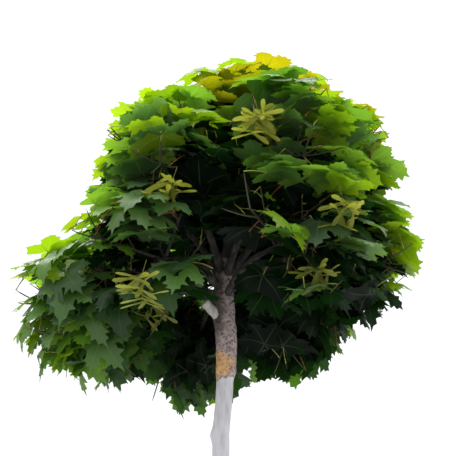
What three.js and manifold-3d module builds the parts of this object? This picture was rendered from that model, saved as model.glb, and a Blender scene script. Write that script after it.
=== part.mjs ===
// A young globe maple grafted high on a straight standard trunk: the trunk with its root flare and
// graft union, the boughs that leave its head, and the round crown as thirteen masses of foliage.
// Millimetres, +Z up. The origin is the centre of the flat cut at ground level, and -Y is the front.
import * as THREE from 'three';
import { mergeVertices } from 'three/addons/utils/BufferGeometryUtils.js';
import Module from 'manifold-3d';

const wasm = await Module();
wasm.setup();

// ---- Driving dimensions ----------------------------------------------------------------------

const GAP = 0.3; // clear space between pieces that meet
const LEAF_GAP = 1; // clear space kept between leaves, twigs and limbs that pass each other
const SHORTEST_EDGE = 0.05; // shorter edges, left where pieces are fused, are drawn together

// The trunk. Each station is a height with the centre's sideways drift and the radius there.
const TRUNK_SIDES = 14;
const TRUNK_STATIONS = [
  { z: 0, x: 0, y: 0, radius: 27.5 },
  { z: 700, x: -9, y: 5, radius: 25 },
  { z: 1400, x: -13, y: 7, radius: 22.2 },
  { z: 2000, x: -5, y: 3, radius: 20.2 },
  { z: 2140, x: 4, y: 0, radius: 21 },
  { z: 2175, x: 7, y: 0, radius: 24.6 },
  { z: 2250, x: 8, y: 0, radius: 26.4 },
  { z: 2320, x: 1, y: 2, radius: 28 },
  { z: 2410, x: 0, y: 4, radius: 25 },
  { z: 2470, x: 2, y: 4, radius: 15 },
];
const TRUNK_TOP = TRUNK_STATIONS.at(-1).z;
const FOOT_RINGS = [0, 14, 34, 64, 110, 190];
const SHAFT_RINGS = { from: 400, to: 1900, every: 300 };
const GRAFT_RINGS = { from: 1960, to: TRUNK_TOP, every: 25.5 };
const FLARE = { extra: 19, height: 60, buttresses: 5, ripple: 0.33 };
const KNOT = { z: 2012, angle: 188, bulge: 6, spread: 16 };
const CALLUS = { z: 2158, angle: 320, bulge: 3.5, spread: 13 };

// The pruned stub on the head: a short leader sawn off square.
const STUB = { z: 2296, angle: 208, rise: 38, length: 72, radiusAtHead: 14, radiusAtCut: 12, sides: 10 };

// Boughs leave the head in rows and arch out to the masses.
const BOUGH = { sides: 6, steps: 5, radiusAtHead: 11, radiusAtTip: 7.8, arch: 0.3, bend: 0.5, rooted: 12 };

// Each mass of foliage: its place round the trunk, and the half width and half height of its space.
// `row` is the height at which its bough leaves the head.
const MASSES = [
  { name: 'top', angle: -14, out: 86, z: 2790, half: 314, rise: 248, row: TRUNK_TOP, keys: true },
  { name: 'upper_right', angle: -6, out: 247, z: 2708, half: 259, rise: 251, row: 2392 },
  { name: 'upper_back', angle: 82, out: 250, z: 2670, half: 282, rise: 251, row: 2408, keys: true },
  { name: 'upper_left', angle: 163, out: 156, z: 2660, half: 242, rise: 241, row: 2396 },
  { name: 'upper_front_left', angle: 246, out: 225, z: 2618, half: 254, rise: 221, row: 2408, keys: true },
  { name: 'upper_front_right', angle: 303, out: 246, z: 2633, half: 272, rise: 241, row: 2396, keys: true },
  { name: 'right_lobe', angle: 9, out: 300, z: 2519, half: 254, rise: 243, row: 2365 },
  { name: 'back_right', angle: 55, out: 268, z: 2425, half: 254, rise: 258, row: 2338, keys: true },
  { name: 'back', angle: 108, out: 285, z: 2356, half: 239, rise: 251, row: 2380 },
  { name: 'back_left', angle: 144, out: 285, z: 2398, half: 264, rise: 241, row: 2334, keys: true },
  { name: 'left_lobe', angle: 184, out: 300, z: 2321, half: 259, rise: 215, row: 2365, keys: true },
  { name: 'front_left', angle: 234, out: 262, z: 2380, half: 249, rise: 211, row: 2375, keys: true },
  { name: 'front_right', angle: 302, out: 270, z: 2440, half: 264, rise: 225, row: 2350, keys: true },
];
const CROWN_HEART = new THREE.Vector3(30, 0, 2480); // leaves face away from here
const SPACE_CLEARANCE = 1; // from a mass to the planes that part it from its neighbours
const ENTRY = 0.5; // how far before its middle a bough ends, as a share of the mass's half width

// Twigs: they leave the outer part of a mass's own stem in even directions.
const TWIG = {
  count: 8, sides: 3, radiusAtStem: 5, radiusAtTip: 4, reach: 0.62, shortest: 45,
  firstAt: 0.55, backwardLimit: -0.5, rootsFrom: 0.3, rootsTo: 0.97, rootSpacing: 11,
};
const STEM = { sides: 4, radius: 7.5, radiusAtEnd: 6.75, rootsFrom: 0.35 };

// A leaf: angle from the tip and distance from the palm, as shares of the leaf's width, for the
// middle lobe, a notch, the side lobe, a notch and the lobe at the foot.
const LEAF_OUTLINE = [[0, 0.62], [27, 0.36], [54, 0.6], [84, 0.37], [122, 0.46]];
const LEAF = {
  width: 152, thickness: 0.036, droop: 0.16, sunk: 2, shortestStalk: 60, longestStalk: 215,
};
const LEAF_POSE = { away: 0.75, up: 0.65, tipAway: 0.3, tipDown: 0.6, wobble: 0.35, tipWobble: 0.245 };
const LEAF_FIT = { rootsTried: 6, flattest: 0.4, straightest: 0.6, neighbours: 2.2 };
const LEAF_SITES = { count: 97, stride: 41, backwardLimit: -0.4, from: 1.2, to: 0.4, step: 11.34 };
const LEAF_SIZES = [{ size: 1, upTo: 10 }, { size: 0.8, upTo: 18 }, { size: 0.62, upTo: 23 }];

// Winged keys: a pair of wings that hangs from a twig on one stalk.
const KEYS = {
  wings: 2, length: 64, width: 22, thickness: 4.5, stalk: 46, stalkRadius: 3, spread: 66, outward: 0.7,
};

// ---- Materials -------------------------------------------------------------------------------

const finish = (color, roughness) => new THREE.MeshStandardMaterial({ color, roughness, metalness: 0 });
const trunkFinish = () => finish(0xa9a2a6, 0.85);
const boughFinish = () => finish(0x6f665c, 0.85);
const cutFinish = () => finish(0xd8cfc0, 0.8);
const leafFinish = () => finish(0x5b8a2c, 0.5);

// ---- Small helpers ---------------------------------------------------------------------------

const UP = new THREE.Vector3(0, 0, 1);
const GOLDEN_ANGLE = Math.PI * (3 - Math.sqrt(5));
const radians = THREE.MathUtils.degToRad;
const headingOf = (angle) => new THREE.Vector3(Math.cos(radians(angle)), Math.sin(radians(angle)), 0);

/** Numbers from 0 to 1 that are the same each time for one seed. */
function seededRandom(seed) {
  let state = seed >>> 0;
  return () => {
    state = (Math.imul(state, 1664525) + 1013904223) >>> 0;
    return state / 2 ** 32;
  };
}

/** Directions spread evenly over a sphere, from top to bottom, turned by a seeded angle. */
function evenDirections(count, random) {
  const turn = 2 * Math.PI * random();
  return Array.from({ length: count }, (_, i) => {
    const height = 1 - (2 * i + 1) / count;
    const ring = Math.sqrt(1 - height * height);
    const angle = turn + i * GOLDEN_ANGLE;
    return new THREE.Vector3(ring * Math.cos(angle), ring * Math.sin(angle), height);
  });
}

/** Turns a closed geometry into a solid that can be joined and cut. */
function solidFrom(geometry) {
  geometry.deleteAttribute('normal');
  geometry.deleteAttribute('uv');
  const merged = mergeVertices(geometry, 1e-4);
  return new wasm.Manifold(new wasm.Mesh({
    numProp: 3,
    vertProperties: new Float32Array(merged.attributes.position.array),
    triVerts: new Uint32Array(merged.index.array),
  }));
}

/** Turns a solid back into a geometry. */
function geometryFrom(solid) {
  const { vertProperties, triVerts } = solid.getMesh();
  const geometry = new THREE.BufferGeometry();
  geometry.setAttribute('position', new THREE.BufferAttribute(new Float32Array(vertProperties), 3));
  geometry.setIndex(new THREE.BufferAttribute(new Uint32Array(triVerts), 1));
  geometry.computeVertexNormals();
  return geometry;
}

/** The points that a geometry's faces join. */
function cornersOf(geometry) {
  const position = geometry.attributes.position;
  const cornerAt = (_, i) => new THREE.Vector3().fromBufferAttribute(position, i);
  return Array.from({ length: position.count }, cornerAt);
}

/** Moves each vertex of a geometry to the place that `placeOf` gives for it. */
function reshape(geometry, placeOf) {
  cornersOf(geometry).forEach((corner, i) => {
    const placed = placeOf(corner);
    geometry.attributes.position.setXYZ(i, placed.x, placed.y, placed.z);
  });
  return geometry;
}

/** A tapering limb of round or few-sided section along a curve that bends in one plane. */
function limb(curve, radiusAtStart, radiusAtEnd, sides, steps) {
  const chord = curve.getPoint(1).sub(curve.getPoint(0));
  const across = new THREE.Vector3().crossVectors(chord, UP);
  if (across.length() < 0.05 * chord.length()) {
    across.set(1, 0, 0);
  }
  return solidFrom(reshape(new THREE.CylinderGeometry(1, 1, 1, sides, steps), (vertex) => {
    const share = vertex.y + 0.5;
    const along = curve.getTangent(share);
    const side = across.clone().addScaledVector(along, -across.dot(along)).normalize();
    const other = new THREE.Vector3().crossVectors(side, along);
    const radius = THREE.MathUtils.lerp(radiusAtStart, radiusAtEnd, share);
    return curve.getPoint(share)
      .addScaledVector(side, vertex.x * radius)
      .addScaledVector(other, vertex.z * radius);
  }));
}

/** Whether a solid keeps its distance from all others. */
const clearOf = (solid, others) => others.every((other) => solid.minGap(other, 2 * LEAF_GAP) > LEAF_GAP);

// ---- The trunk -------------------------------------------------------------------------------

/** One column of the trunk's stations as a smooth function of height. */
const trunkColumn = (key) => (z) => {
  const next = Math.max(1, TRUNK_STATIONS.findIndex((station) => station.z >= z));
  const [below, above] = [TRUNK_STATIONS[next - 1], TRUNK_STATIONS[next]];
  return THREE.MathUtils.lerp(below[key], above[key], THREE.MathUtils.smoothstep(z, below.z, above.z));
};
const trunkX = trunkColumn('x');
const trunkY = trunkColumn('y');
const trunkRadius = trunkColumn('radius');
const trunkCentre = (z) => new THREE.Vector3(trunkX(z), trunkY(z), z);

/** How much a swelling adds to the trunk's radius at a height and an angle. */
function swelling({ z: middle, angle: heading, bulge, spread }, z, angle) {
  const turn = angle - radians(heading);
  const around = trunkRadius(middle) * Math.atan2(Math.sin(turn), Math.cos(turn));
  return bulge * Math.exp(-((Math.hypot(z - middle, around) / spread) ** 2));
}

/** How much the root flare adds to the trunk's radius. */
function flare(z, angle) {
  const buttress = 1 + FLARE.ripple * Math.cos(FLARE.buttresses * angle);
  return FLARE.extra * Math.exp(-z / FLARE.height) * buttress;
}

/** Heights of the trunk's rings: close together at the flare and the graft. */
function trunkRings() {
  const heights = [...FOOT_RINGS];
  for (const { from, to, every } of [SHAFT_RINGS, GRAFT_RINGS]) {
    for (let z = from; z <= to; z += every) {
      heights.push(z);
    }
  }
  return heights;
}

/** The trunk as one solid, grown on its sides and top by `extra`. */
function trunkSolid(extra) {
  const heights = trunkRings();
  const steps = heights.length - 1;
  return solidFrom(reshape(new THREE.CylinderGeometry(1, 1, 1, TRUNK_SIDES, steps), (vertex) => {
    const z = heights[Math.round((vertex.y + 0.5) * steps)];
    const angle = Math.atan2(-vertex.z, vertex.x);
    const radius = trunkRadius(z) + flare(z, angle) + swelling(KNOT, z, angle)
      + swelling(CALLUS, z, angle) + extra;
    const fromCentre = radius * Math.hypot(vertex.x, vertex.z);
    const lift = z === heights[steps] ? extra : 0;
    return trunkCentre(z).add(new THREE.Vector3(
      fromCentre * Math.cos(angle),
      fromCentre * Math.sin(angle),
      lift,
    ));
  }));
}

const trunk = trunkSolid(0);
const trunkGrown = trunkSolid(GAP);

function stubSolid() {
  const direction = headingOf(STUB.angle).multiplyScalar(Math.cos(radians(STUB.rise)));
  direction.z = Math.sin(radians(STUB.rise));
  const start = trunkCentre(STUB.z);
  const line = new THREE.LineCurve3(start, start.clone().addScaledVector(direction, STUB.length));
  return limb(line, STUB.radiusAtHead, STUB.radiusAtCut, STUB.sides, 1).subtract(trunkGrown);
}

// ---- The space of a mass ---------------------------------------------------------------------

const centreOf = (mass) => headingOf(mass.angle).multiplyScalar(mass.out).setZ(mass.z);

/** Planes that part a mass from every other: p is inside where normal.p is below the limit. */
function partingPlanes(mass) {
  const centre = centreOf(mass);
  return MASSES.filter((other) => other !== mass).map((other) => {
    const across = centreOf(other).sub(centre);
    const distance = across.length();
    const weights = mass.half ** 2 - other.half ** 2;
    const middle = (centreOf(other).lengthSq() - centre.lengthSq() + weights) / (2 * distance);
    return { normal: across.divideScalar(distance), limit: middle - SPACE_CLEARANCE };
  });
}

/** A test of whether a point lies in the mass's own space. */
function spaceOf(mass) {
  const centre = centreOf(mass);
  const planes = partingPlanes(mass);
  const sizes = new THREE.Vector3(mass.half, mass.half, mass.rise);
  return (point) => point.clone().sub(centre).divide(sizes).length() < 1
    && planes.every((plane) => plane.normal.dot(point) < plane.limit);
}

/** The middle of a mass's own space. */
function middleOf(mass) {
  const space = spaceOf(mass);
  const samples = evenDirections(60, () => 0).flatMap((direction) => [0.3, 0.6, 0.9].map(
    (share) => direction.clone().multiplyScalar(share * mass.half).add(centreOf(mass)),
  )).filter(space);
  return samples.reduce((sum, point) => sum.add(point), new THREE.Vector3()).divideScalar(samples.length);
}

/** How far a ray stays inside a space. */
function runInside(space, start, direction) {
  const step = 10;
  let run = 0;
  while (space(start.clone().addScaledVector(direction, run + step))) {
    run += step;
  }
  return run;
}

// ---- The boughs ------------------------------------------------------------------------------

/** The straight way from where a bough ends to the middle of its mass. */
function lastStretch(mass) {
  const middle = middleOf(mass);
  const inward = trunkCentre(mass.row).sub(middle);
  inward.z += BOUGH.arch * Math.hypot(inward.x, inward.y);
  inward.setLength(ENTRY * Math.min(mass.half, mass.rise));
  return { entry: middle.clone().add(inward), middle, arrival: inward.clone().negate().normalize() };
}

function boughSolid(mass) {
  const { entry, arrival } = lastStretch(mass);
  const head = trunkCentre(Math.min(mass.row, TRUNK_TOP - BOUGH.rooted));
  const bend = entry.clone().addScaledVector(arrival, -BOUGH.bend * head.distanceTo(entry));
  const curve = new THREE.QuadraticBezierCurve3(head, bend, entry);
  const whole = limb(curve, BOUGH.radiusAtHead, BOUGH.radiusAtTip, BOUGH.sides, BOUGH.steps);
  return whole.subtract(trunkGrown);
}

// ---- Leaves and keys -------------------------------------------------------------------------

/** A leaf: a thin dome with five pointed lobes that droop, drawn out into a stalk to its root. */
function leafGeometry({ palm, tipward, facing, width }, root) {
  const sideways = new THREE.Vector3().crossVectors(tipward, facing);
  const rightHalf = LEAF_OUTLINE.map(([degrees, reach]) => [radians(degrees), reach * width]);
  const leftHalf = rightHalf.slice(1).map(([angle, reach]) => [-angle, reach]).reverse();
  const rim = [...leftHalf, ...rightHalf].map(([angle, reach]) => palm.clone()
    .addScaledVector(tipward, reach * Math.cos(angle))
    .addScaledVector(sideways, reach * Math.sin(angle))
    .addScaledVector(facing, -LEAF.droop * reach));
  const halfThickness = 0.5 * LEAF.thickness * width;
  const over = palm.clone().addScaledVector(facing, halfThickness);
  const under = palm.clone().addScaledVector(facing, -halfThickness);
  const foot = root.clone().add(root.clone().sub(palm).setLength(LEAF.sunk));
  const outline = [...rim, foot];
  const faces = outline.flatMap((_, i) => {
    const next = (i + 1) % outline.length;
    return [i, outline.length, next, i, next, outline.length + 1];
  });
  return new THREE.BufferGeometry().setFromPoints([...outline, over, under]).setIndex(faces);
}

/** The way a leaf faces and hangs, from where its palm lies and where its stalk is rooted. */
function poseOfLeaf(palm, root, random) {
  const centred = () => random() - 0.5;
  const wobble = (size) => new THREE.Vector3(centred(), centred(), centred()).multiplyScalar(size);
  const away = palm.clone().sub(CROWN_HEART).normalize();
  const facing = wobble(LEAF_POSE.wobble)
    .addScaledVector(away, LEAF_POSE.away)
    .addScaledVector(UP, LEAF_POSE.up)
    .normalize();
  const tipward = wobble(LEAF_POSE.tipWobble)
    .add(palm.clone().sub(root).normalize())
    .addScaledVector(away, LEAF_POSE.tipAway)
    .addScaledVector(UP, -LEAF_POSE.tipDown);
  tipward.addScaledVector(facing, -tipward.dot(facing)).normalize();
  return { facing, tipward };
}

/** Whether the stalk leaves the blade near its foot, not through a lobe or straight off its face. */
function stalkSuits({ palm, facing, tipward }, root) {
  const stalkward = root.clone().sub(palm).normalize();
  const inPlane = stalkward.addScaledVector(facing, -stalkward.dot(facing));
  return inPlane.length() > LEAF_FIT.flattest && -inPlane.normalize().dot(tipward) > LEAF_FIT.straightest;
}

/** One wing of a key: a thin blade from its seed at `joint` to its tip. */
function wingGeometry(joint, tipward, facing) {
  const sideways = new THREE.Vector3().crossVectors(tipward, facing);
  const overlap = 0.06; // of its length that the wing reaches back past the joint
  return reshape(new THREE.SphereGeometry(1, 4, 2), (vertex) => joint.clone()
    .addScaledVector(tipward, KEYS.length * (0.5 - 0.5 * overlap + 0.5 * (1 + overlap) * vertex.x))
    .addScaledVector(sideways, 0.5 * KEYS.width * vertex.z)
    .addScaledVector(facing, 0.5 * KEYS.thickness * vertex.y));
}

/** A hanging pair of keys: its stalk and its wings, which overlap at their joint. */
function keysOn(root, away) {
  const hang = away.clone().multiplyScalar(KEYS.outward).sub(UP).normalize();
  const joint = root.clone().addScaledVector(hang, KEYS.stalk);
  const stalkLine = new THREE.LineCurve3(root, joint.clone().addScaledVector(hang, KEYS.stalkRadius));
  const [cosine, sine] = [Math.cos(radians(KEYS.spread)), Math.sin(radians(KEYS.spread))];
  const wings = Array.from({ length: KEYS.wings }, (_, i) => {
    const side = new THREE.Vector3().crossVectors(hang, new THREE.Vector3(0, 1, 0)).normalize();
    side.applyAxisAngle(hang, 2 * Math.PI * i / KEYS.wings);
    const tipward = hang.clone().multiplyScalar(cosine).addScaledVector(side, sine);
    const facing = hang.clone().multiplyScalar(-sine).addScaledVector(side, cosine);
    return wingGeometry(joint, tipward, facing);
  });
  const corners = wings.flatMap(cornersOf);
  const stalk = limb(stalkLine, KEYS.stalkRadius, KEYS.stalkRadius, 3, 1);
  return { corners, solids: [stalk, ...wings.map(solidFrom)] };
}

// ---- Growing a mass --------------------------------------------------------------------------

/** The mass's own stem and its twigs, with the places on them where stalks can root. */
function growWood(mass, limbs, random) {
  const space = spaceOf(mass);
  const { entry, middle, arrival } = lastStretch(mass);
  const away = middle.clone().sub(CROWN_HEART).normalize();
  const stemLine = new THREE.LineCurve3(entry.clone().addScaledVector(arrival, GAP), middle);
  const stem = limb(stemLine, STEM.radius, STEM.radiusAtEnd, STEM.sides, 1);
  const wood = [{ line: stemLine, solid: stem, rootsFrom: STEM.rootsFrom }];
  evenDirections(TWIG.count, random).forEach((direction, i) => {
    if (direction.dot(away) < TWIG.backwardLimit) {
      return;
    }
    const start = stemLine.getPoint(TWIG.firstAt + (1 - TWIG.firstAt) * (i / TWIG.count));
    const reach = TWIG.reach * runInside(space, start, direction);
    const line = new THREE.LineCurve3(start, start.clone().addScaledVector(direction, reach));
    const solid = limb(line, TWIG.radiusAtStem, TWIG.radiusAtTip, TWIG.sides, 1);
    if (reach > TWIG.shortest && clearOf(solid, limbs)) {
      wood.push({ line, solid, rootsFrom: TWIG.rootsFrom });
    }
  });
  const roots = wood.flatMap(({ line, rootsFrom }, owner) => {
    const count = Math.floor(line.getLength() * (1 - rootsFrom) / TWIG.rootSpacing);
    return Array.from({ length: count }, (_, i) => {
      const share = rootsFrom + (TWIG.rootsTo - rootsFrom) * (i + 1) / count;
      return { place: line.getPoint(share), owner, used: false };
    });
  });
  return { solids: wood.map((piece) => piece.solid), roots, middle, away };
}

/** One mass of foliage: wood first, then its keys, then leaves from the outside in. */
function growMass(mass, limbs, seed) {
  const random = seededRandom(seed);
  const space = spaceOf(mass);
  const { solids: wood, roots, middle, away } = growWood(mass, limbs, random);
  const grown = [];
  const otherWood = (root) => wood.filter((_, owner) => owner !== root.owner);

  const placeKeys = () => {
    for (const root of [...roots].sort((one, two) => two.place.dot(away) - one.place.dot(away))) {
      const { corners, solids } = keysOn(root.place, away);
      if (corners.every(space) && solids.every((solid) => clearOf(solid, [...limbs, ...otherWood(root)]))) {
        root.used = true;
        grown.push(...solids.map((solid) => ({ palm: root.place, solid })));
        return;
      }
    }
  };

  const placeLeaf = (palm, width) => {
    const near = roots.filter((root) => !root.used)
      .map((root) => ({ root, far: root.place.distanceTo(palm) }))
      .filter(({ far }) => far > LEAF.shortestStalk && far < LEAF.longestStalk)
      .sort((one, two) => one.far - two.far)
      .slice(0, LEAF_FIT.rootsTried);
    const neighbours = grown.filter((other) => other.palm.distanceTo(palm) < LEAF_FIT.neighbours * LEAF.width)
      .map((other) => other.solid);
    return near.some(({ root }) => {
      const pose = { palm, width, ...poseOfLeaf(palm, root.place, random) };
      const geometry = leafGeometry(pose, root.place);
      if (!stalkSuits(pose, root.place) || !cornersOf(geometry).every(space)) {
        return false;
      }
      const solid = solidFrom(geometry);
      if (!clearOf(solid, [...neighbours, ...limbs, ...otherWood(root)])) {
        return false;
      }
      root.used = true;
      grown.push({ palm, solid });
      return true;
    });
  };

  if (mass.keys) {
    placeKeys();
  }
  const keyPieces = grown.length;
  const sites = evenDirections(LEAF_SITES.count, random);
  const directions = sites.map((_, i) => sites[(i * LEAF_SITES.stride) % sites.length])
    .filter((direction) => direction.dot(away) > LEAF_SITES.backwardLimit);
  for (const { size, upTo } of LEAF_SIZES) {
    for (const direction of directions) {
      let out = LEAF_SITES.from * mass.half;
      let placed = false;
      while (!placed && out > LEAF_SITES.to * mass.half && grown.length < keyPieces + upTo) {
        const palm = middle.clone().addScaledVector(direction, out);
        placed = space(palm) && placeLeaf(palm, size * LEAF.width);
        out -= LEAF_SITES.step;
      }
    }
  }
  const bodies = wasm.Manifold.union([...wood, ...grown.map((piece) => piece.solid)]).decompose();
  const largest = bodies.reduce((best, body) => (body.volume() > best.volume() ? body : best));
  return largest.simplify(SHORTEST_EDGE);
}

// ---- The tree --------------------------------------------------------------------------------

const tree = new THREE.Group();

function addPiece(name, solid, material) {
  const piece = new THREE.Mesh(geometryFrom(solid), material);
  piece.name = name;
  tree.add(piece);
  return solid;
}

const limbs = [
  addPiece('trunk', trunk, trunkFinish()),
  addPiece('pruned_stub', stubSolid(), cutFinish()),
  ...MASSES.map((mass) => addPiece(`bough_${mass.name}`, boughSolid(mass), boughFinish())),
];
MASSES.forEach((mass, i) => addPiece(`foliage_${mass.name}`, growMass(mass, limbs, 101 + i), leafFinish()));

export default tree;
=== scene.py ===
"""Dresses a young globe maple, grafted high on a straight trunk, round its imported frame.

The trunk and boughs get bark with real relief. Each mass of foliage is grown again from its bough
by the same seeded rule as its solid, and carried on to finer shoots, stalks, leaves and keys.
Everything is in metres, +Z up, with -Y to the front.
"""

import math

import bpy
import numpy as np
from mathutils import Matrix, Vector, noise


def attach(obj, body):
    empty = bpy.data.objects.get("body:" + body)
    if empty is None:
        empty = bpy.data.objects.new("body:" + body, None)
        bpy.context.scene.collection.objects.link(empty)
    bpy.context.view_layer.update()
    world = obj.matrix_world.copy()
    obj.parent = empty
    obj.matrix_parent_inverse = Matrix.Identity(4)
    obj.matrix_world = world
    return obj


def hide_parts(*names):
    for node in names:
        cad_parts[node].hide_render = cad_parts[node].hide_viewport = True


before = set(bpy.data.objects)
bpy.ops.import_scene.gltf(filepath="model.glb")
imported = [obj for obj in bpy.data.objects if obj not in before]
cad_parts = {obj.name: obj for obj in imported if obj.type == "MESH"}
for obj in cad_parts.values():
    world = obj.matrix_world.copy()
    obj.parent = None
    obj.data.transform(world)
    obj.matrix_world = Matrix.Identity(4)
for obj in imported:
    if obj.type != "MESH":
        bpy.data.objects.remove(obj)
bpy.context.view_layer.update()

bl_info = {
    "name": "Globe maple",
    "version": (1, 0, 0),
    "blender": (4, 5, 0),
    "location": "3D View > Sidebar > Maple",
    "description": "A grafted globe maple with bark relief, toothed leaves and winged keys",
    "category": "Add Mesh",
}

# ---- The sizes that the solids are built from ---------------------------------------------------

TRUNK_STATIONS = np.array([  # height, sideways drift in x and y, radius
    [0.000, 0.000, 0.000, 0.0275],
    [0.700, -0.009, 0.005, 0.0250],
    [1.400, -0.013, 0.007, 0.0222],
    [2.000, -0.005, 0.003, 0.0202],
    [2.140, 0.004, 0.000, 0.0210],
    [2.175, 0.007, 0.000, 0.0246],
    [2.250, 0.008, 0.000, 0.0264],
    [2.320, 0.001, 0.002, 0.0280],
    [2.410, 0.000, 0.004, 0.0250],
    [2.470, 0.002, 0.004, 0.0150],
])
TRUNK_TOP = TRUNK_STATIONS[-1, 0]
MASSES = [dict(zip(("name", "angle", "out", "z", "half", "rise", "row"), values)) for values in [
    # name, heading in degrees, distance out, height, half width, half height, height of its bough's foot
    ("top", -14, 0.086, 2.790, 0.314, 0.248, TRUNK_TOP),
    ("upper_right", -6, 0.247, 2.708, 0.259, 0.251, 2.392),
    ("upper_back", 82, 0.250, 2.670, 0.282, 0.251, 2.408),
    ("upper_left", 163, 0.156, 2.660, 0.242, 0.241, 2.396),
    ("upper_front_left", 246, 0.225, 2.618, 0.254, 0.221, 2.408),
    ("upper_front_right", 303, 0.246, 2.633, 0.272, 0.241, 2.396),
    ("right_lobe", 9, 0.300, 2.519, 0.254, 0.243, 2.365),
    ("back_right", 55, 0.268, 2.425, 0.254, 0.258, 2.338),
    ("back", 108, 0.285, 2.356, 0.239, 0.251, 2.380),
    ("back_left", 144, 0.285, 2.398, 0.264, 0.241, 2.334),
    ("left_lobe", 184, 0.300, 2.321, 0.259, 0.215, 2.365),
    ("front_left", 234, 0.262, 2.380, 0.249, 0.211, 2.375),
    ("front_right", 302, 0.270, 2.440, 0.264, 0.225, 2.350),
]]
CROWN_HEART = np.array([0.030, 0.0, 2.480])
PARTING_GAP = 0.001  # each mass stays this far inside its parting planes
UP = np.array([0.0, 0.0, 1.0])
GOLDEN_ANGLE = math.pi * (3 - math.sqrt(5))
FIRST_SEED = 101

# ---- Small helpers ------------------------------------------------------------------------------


def seeded_random(seed):
    """Numbers from 0 to 1 that are the same each time for one seed."""
    state = [seed & 0xFFFFFFFF]

    def draw():
        state[0] = (state[0] * 1664525 + 1013904223) & 0xFFFFFFFF
        return state[0] / 2 ** 32

    return draw


def even_directions(count, turn):
    """Directions spread evenly over a sphere, from top to bottom."""
    index = np.arange(count)
    height = 1 - (2 * index + 1) / count
    ring = np.sqrt(1 - height * height)
    angle = turn + index * GOLDEN_ANGLE
    return np.stack([ring * np.cos(angle), ring * np.sin(angle), height], axis=1)


def unit(vector):
    return vector / np.linalg.norm(vector, axis=-1, keepdims=True)


def heading(angle):
    return np.array([math.cos(math.radians(angle)), math.sin(math.radians(angle)), 0.0])


def between(start, end, share):
    return start + (end - start) * share


class MeshArrays:
    """Vertices and triangles collected from many small shapes, with a material number for each face."""

    def __init__(self):
        self.vertices = []
        self.faces = []
        self.materials = []
        self.count = 0

    def add(self, vertices, faces, material=0):
        vertices = np.asarray(vertices, dtype=np.float64).reshape(-1, 3)
        faces = np.asarray(faces, dtype=np.int64).reshape(-1, 3)
        self.vertices.append(vertices)
        self.faces.append(faces + self.count)
        self.materials.append(np.broadcast_to(np.asarray(material, dtype=np.int32), (len(faces),)))
        self.count += len(vertices)

    def to_object(self, name, materials, smooth=True):
        """One joined mesh object, built from the arrays."""
        vertices = np.concatenate(self.vertices)
        faces = np.concatenate(self.faces)
        mesh = bpy.data.meshes.new(name)
        mesh.vertices.add(len(vertices))
        mesh.vertices.foreach_set("co", vertices.astype(np.float32).ravel())
        mesh.loops.add(3 * len(faces))
        mesh.loops.foreach_set("vertex_index", faces.astype(np.int32).ravel())
        mesh.polygons.add(len(faces))
        mesh.polygons.foreach_set("loop_start", np.arange(0, 3 * len(faces), 3, dtype=np.int32))
        for material in materials:
            mesh.materials.append(material)
        mesh.polygons.foreach_set("material_index", np.concatenate(self.materials).astype(np.int32))
        mesh.polygons.foreach_set("use_smooth", np.full(len(faces), smooth))
        mesh.update(calc_edges=True)
        mesh.validate()
        piece = bpy.data.objects.new(name, mesh)
        bpy.context.scene.collection.objects.link(piece)
        return piece


def tube_faces(rings, sides):
    """Triangles of one tube of `rings` rings with `sides` points each."""
    ring = np.arange(rings - 1)[:, None] * sides
    here = np.arange(sides)[None, :]
    after = (here + 1) % sides
    a, b = ring + here, ring + after
    c, d = a + sides, b + sides
    return np.concatenate([np.stack(corners, -1).reshape(-1, 3) for corners in ((a, b, d), (a, d, c))])


def fan_faces(sides, centre):
    """Triangles from a ring of points, the first `sides` ones, to one point."""
    ring = np.arange(sides)
    return np.stack([np.full(sides, centre), ring, (ring + 1) % sides], -1)


def placed_copies(faces, points, copies):
    """The triangles of many copies of one shape whose points follow each other."""
    return (faces[None] + points * np.arange(copies)[:, None, None]).reshape(-1, 3)


def tube_frames(lines):
    """Side and cross directions along each line of points, for lines that bend in about one plane."""
    along = unit(np.gradient(lines, axis=1))
    chord = unit(lines[:, -1] - lines[:, 0])
    reference = np.cross(chord, UP)
    upright = np.linalg.norm(reference, axis=1) < 0.05
    reference[upright] = [1.0, 0.0, 0.0]
    overlap = np.sum(reference[:, None] * along, axis=-1, keepdims=True)
    side = unit(reference[:, None] - along * overlap)
    return side, np.cross(side, along)


def add_tubes(arrays, lines, radii, sides, material=0):
    """Adds tubes: lines is (tubes, points, 3), and radii is (tubes, points) or the same for all tubes."""
    lines = np.asarray(lines, dtype=np.float64)
    radii = np.broadcast_to(radii, lines.shape[:2])
    side, cross = tube_frames(lines)
    turn = 2 * math.pi * np.arange(sides) / sides
    around = (side[:, :, None] * np.cos(turn)[None, None, :, None]
              + cross[:, :, None] * np.sin(turn)[None, None, :, None])
    vertices = lines[:, :, None] + around * radii[:, :, None, None]
    faces = tube_faces(lines.shape[1], sides)
    if np.ndim(material):
        material = np.repeat(material, len(faces))
    arrays.add(vertices, placed_copies(faces, lines.shape[1] * sides, len(lines)), material)


def bezier(start, bend, end, count):
    """Points on quadratic curves; each argument may hold many points."""
    share = np.linspace(0, 1, count)[:, None]
    start, bend, end = (np.asarray(point)[..., None, :] for point in (start, bend, end))
    return (1 - share) ** 2 * start + 2 * share * (1 - share) * bend + share ** 2 * end


# ---- The trunk's form ---------------------------------------------------------------------------


def trunk_column(column, z):
    """One column of the trunk's stations as a smooth function of height."""
    z = np.asarray(z, dtype=np.float64)
    heights = TRUNK_STATIONS[:, 0]
    after = np.clip(np.searchsorted(heights, z), 1, len(heights) - 1)
    low, high = TRUNK_STATIONS[after - 1], TRUNK_STATIONS[after]
    share = np.clip((z - low[..., 0]) / (high[..., 0] - low[..., 0]), 0, 1)
    share = share * share * (3 - 2 * share)
    return low[..., column] + (high[..., column] - low[..., column]) * share


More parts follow.
